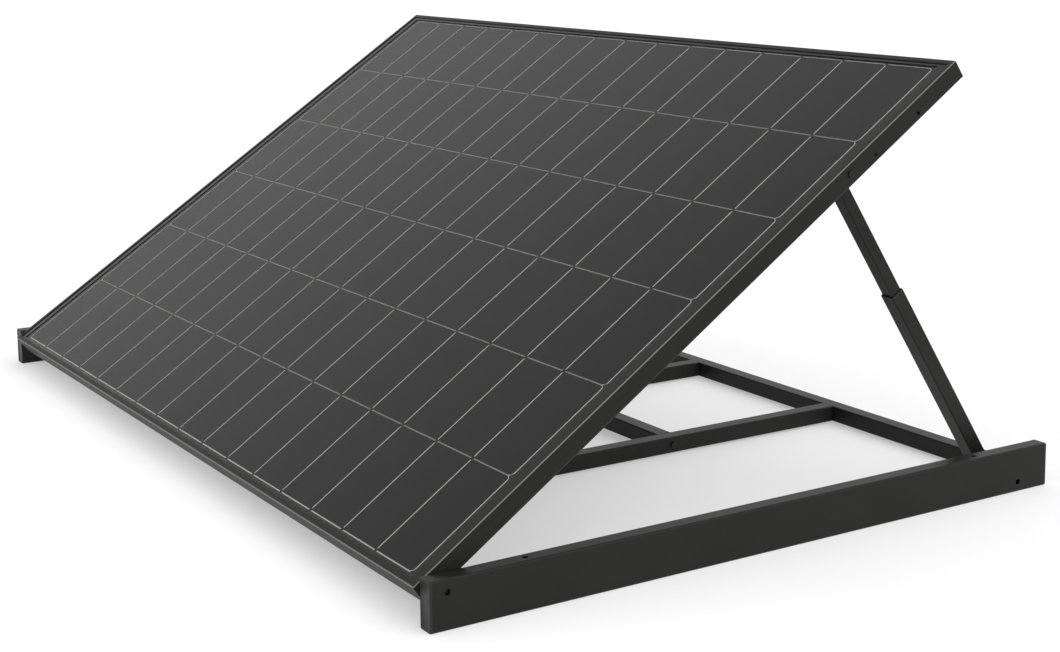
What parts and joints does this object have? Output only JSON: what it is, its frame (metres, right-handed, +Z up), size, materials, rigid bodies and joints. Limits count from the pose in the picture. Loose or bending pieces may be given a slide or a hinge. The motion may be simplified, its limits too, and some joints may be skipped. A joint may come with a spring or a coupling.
{
  "type": "solar panel on tilting ground stand",
  "caption": "Framed black half-cell photovoltaic module hinged at its low edge to a ballast-grid ground stand, propped at the rear by a telescopic strut on each side.",
  "frame": {"origin": "on the ground under the middle of the stand's footprint", "axes": "+X along the module's long side, +Y from the low front edge to the back, +Z up"},
  "size_m": [1.821, 1.1317, 0.6952],
  "materials": {
    "anodised_frame": "black anodised, fine drawn satin",
    "bare_aluminium": "mill finish",
    "solar_glass": "clear tempered, anti-reflective",
    "silicon_cells": "near-black monocrystalline silicon under an anti-reflective coating",
    "pale_film": "matt grey film seen as lines between the cells",
    "black_sheet": "matt black polymer rear sheet",
    "glazing_tape": "matt black foam tape",
    "box_plastic": "fine-textured black moulding",
    "diode_plastic": "moulded epoxy on tinned copper",
    "cap_plastic": "satin black moulding",
    "nylon": "natural nylon, dyed black",
    "zinc_steel": "bright zinc plate",
    "black_fasteners": "black zinc plate",
    "powder_coat": "black fine-texture powder coat"
  },
  "bodies": {
    "stand": {"bracket_bolts": "black_fasteners", "corner_brackets": "powder_coat", "foot_bolt_left": "black_fasteners", "foot_bolt_right": "black_fasteners", "foot_nuts": "black_fasteners", "foot_spacers": "zinc_steel", "front_crossbar": "powder_coat", "long_bar_bolts": "black_fasteners", "long_bar_left": "powder_coat", "long_bar_middle": "powder_coat", "long_bar_right": "powder_coat", "mid_bar_bolts": "black_fasteners", "mid_bar_left": "powder_coat", "mid_bar_right": "powder_coat", "mid_bar_studs": "black_fasteners", "pivot_bolt_left": "black_fasteners", "pivot_bolt_right": "black_fasteners", "pivot_nuts": "black_fasteners", "pivot_washers": "nylon", "rail_cap_front_left": "cap_plastic", "rail_cap_front_right": "cap_plastic", "rail_cap_rear_left": "cap_plastic", "rail_cap_rear_right": "cap_plastic", "rear_crossbar": "powder_coat", "side_rail_left": "powder_coat", "side_rail_right": "powder_coat", "tube_end_inserts": "cap_plastic"},
    "module": {"bypass_diodes": "diode_plastic", "cable_glands": "box_plastic", "cell_carrier_film": "pale_film", "eye_bolt_left": "black_fasteners", "eye_bolt_right": "black_fasteners", "eye_nuts": "black_fasteners", "eye_spacers": "zinc_steel", "front_glass": "solar_glass", "glazing_tape": "glazing_tape", "half_cell_wafers": "silicon_cells", "junction_box_high": "box_plastic", "junction_box_lids": "box_plastic", "junction_box_low": "box_plastic", "junction_box_middle": "box_plastic", "module_corner_keys": "bare_aluminium", "module_frame_front": "anodised_frame", "module_frame_left": "anodised_frame", "module_frame_rear": "anodised_frame", "module_frame_right": "anodised_frame", "rear_sheet": "black_sheet"},
    "strut_outer_left": {"strut_lower_left": "powder_coat", "strut_collar_left": "cap_plastic", "foot_bush_left": "zinc_steel"},
    "strut_inner_left": {"strut_upper_left": "powder_coat", "strut_eye_left": "powder_coat"},
    "clamp_left": {"clamp_screw_left": "black_fasteners"},
    "strut_outer_right": {"strut_lower_right": "powder_coat", "strut_collar_right": "cap_plastic", "foot_bush_right": "zinc_steel"},
    "strut_inner_right": {"strut_upper_right": "powder_coat", "strut_eye_right": "powder_coat"},
    "clamp_right": {"clamp_screw_right": "black_fasteners"}
  },
  "joints": [
    {"name": "panel_tilt", "type": "hinge", "parent": "stand", "child": "module", "pos_m": [0, -0.5315, 0.052], "axis": [1, 0, 0], "range_deg": [-14.3, 1.7]},
    {"name": "strut_swing_left", "type": "hinge", "parent": "stand", "child": "strut_outer_left", "pos_m": [-0.832, 0.5025, 0.016], "axis": [1, 0, 0], "range_deg": [-0.4, 2.2]},
    {"name": "strut_extend_left", "type": "slide", "parent": "strut_outer_left", "child": "strut_inner_left", "axis": [0, -0.5435, 0.8394], "range_m": [-0.212, 0.026]},
    {"name": "clamp_turn_left", "type": "hinge", "parent": "strut_outer_left", "child": "clamp_left", "pos_m": [-0.812, 0.31666, 0.30668], "axis": [1, 0, 0], "range_deg": [-360, 0]},
    {"name": "strut_swing_right", "type": "hinge", "parent": "stand", "child": "strut_outer_right", "pos_m": [0.832, 0.5025, 0.016], "axis": [1, 0, 0], "range_deg": [-0.4, 2.2]},
    {"name": "strut_extend_right", "type": "slide", "parent": "strut_outer_right", "child": "strut_inner_right", "axis": [0, -0.5435, 0.8394], "range_m": [-0.212, 0.026]},
    {"name": "clamp_turn_right", "type": "hinge", "parent": "strut_outer_right", "child": "clamp_right", "pos_m": [0.812, 0.31666, 0.30668], "axis": [1, 0, 0], "range_deg": [0, 360]}
  ],
  "couplings": [
    {"joint": "strut_swing_left", "follows": "panel_tilt", "ratio": -0.13},
    {"joint": "strut_extend_left", "follows": "panel_tilt", "m_per_rad": 0.845},
    {"joint": "strut_swing_right", "follows": "panel_tilt", "ratio": -0.13},
    {"joint": "strut_extend_right", "follows": "panel_tilt", "m_per_rad": 0.845}
  ]
}
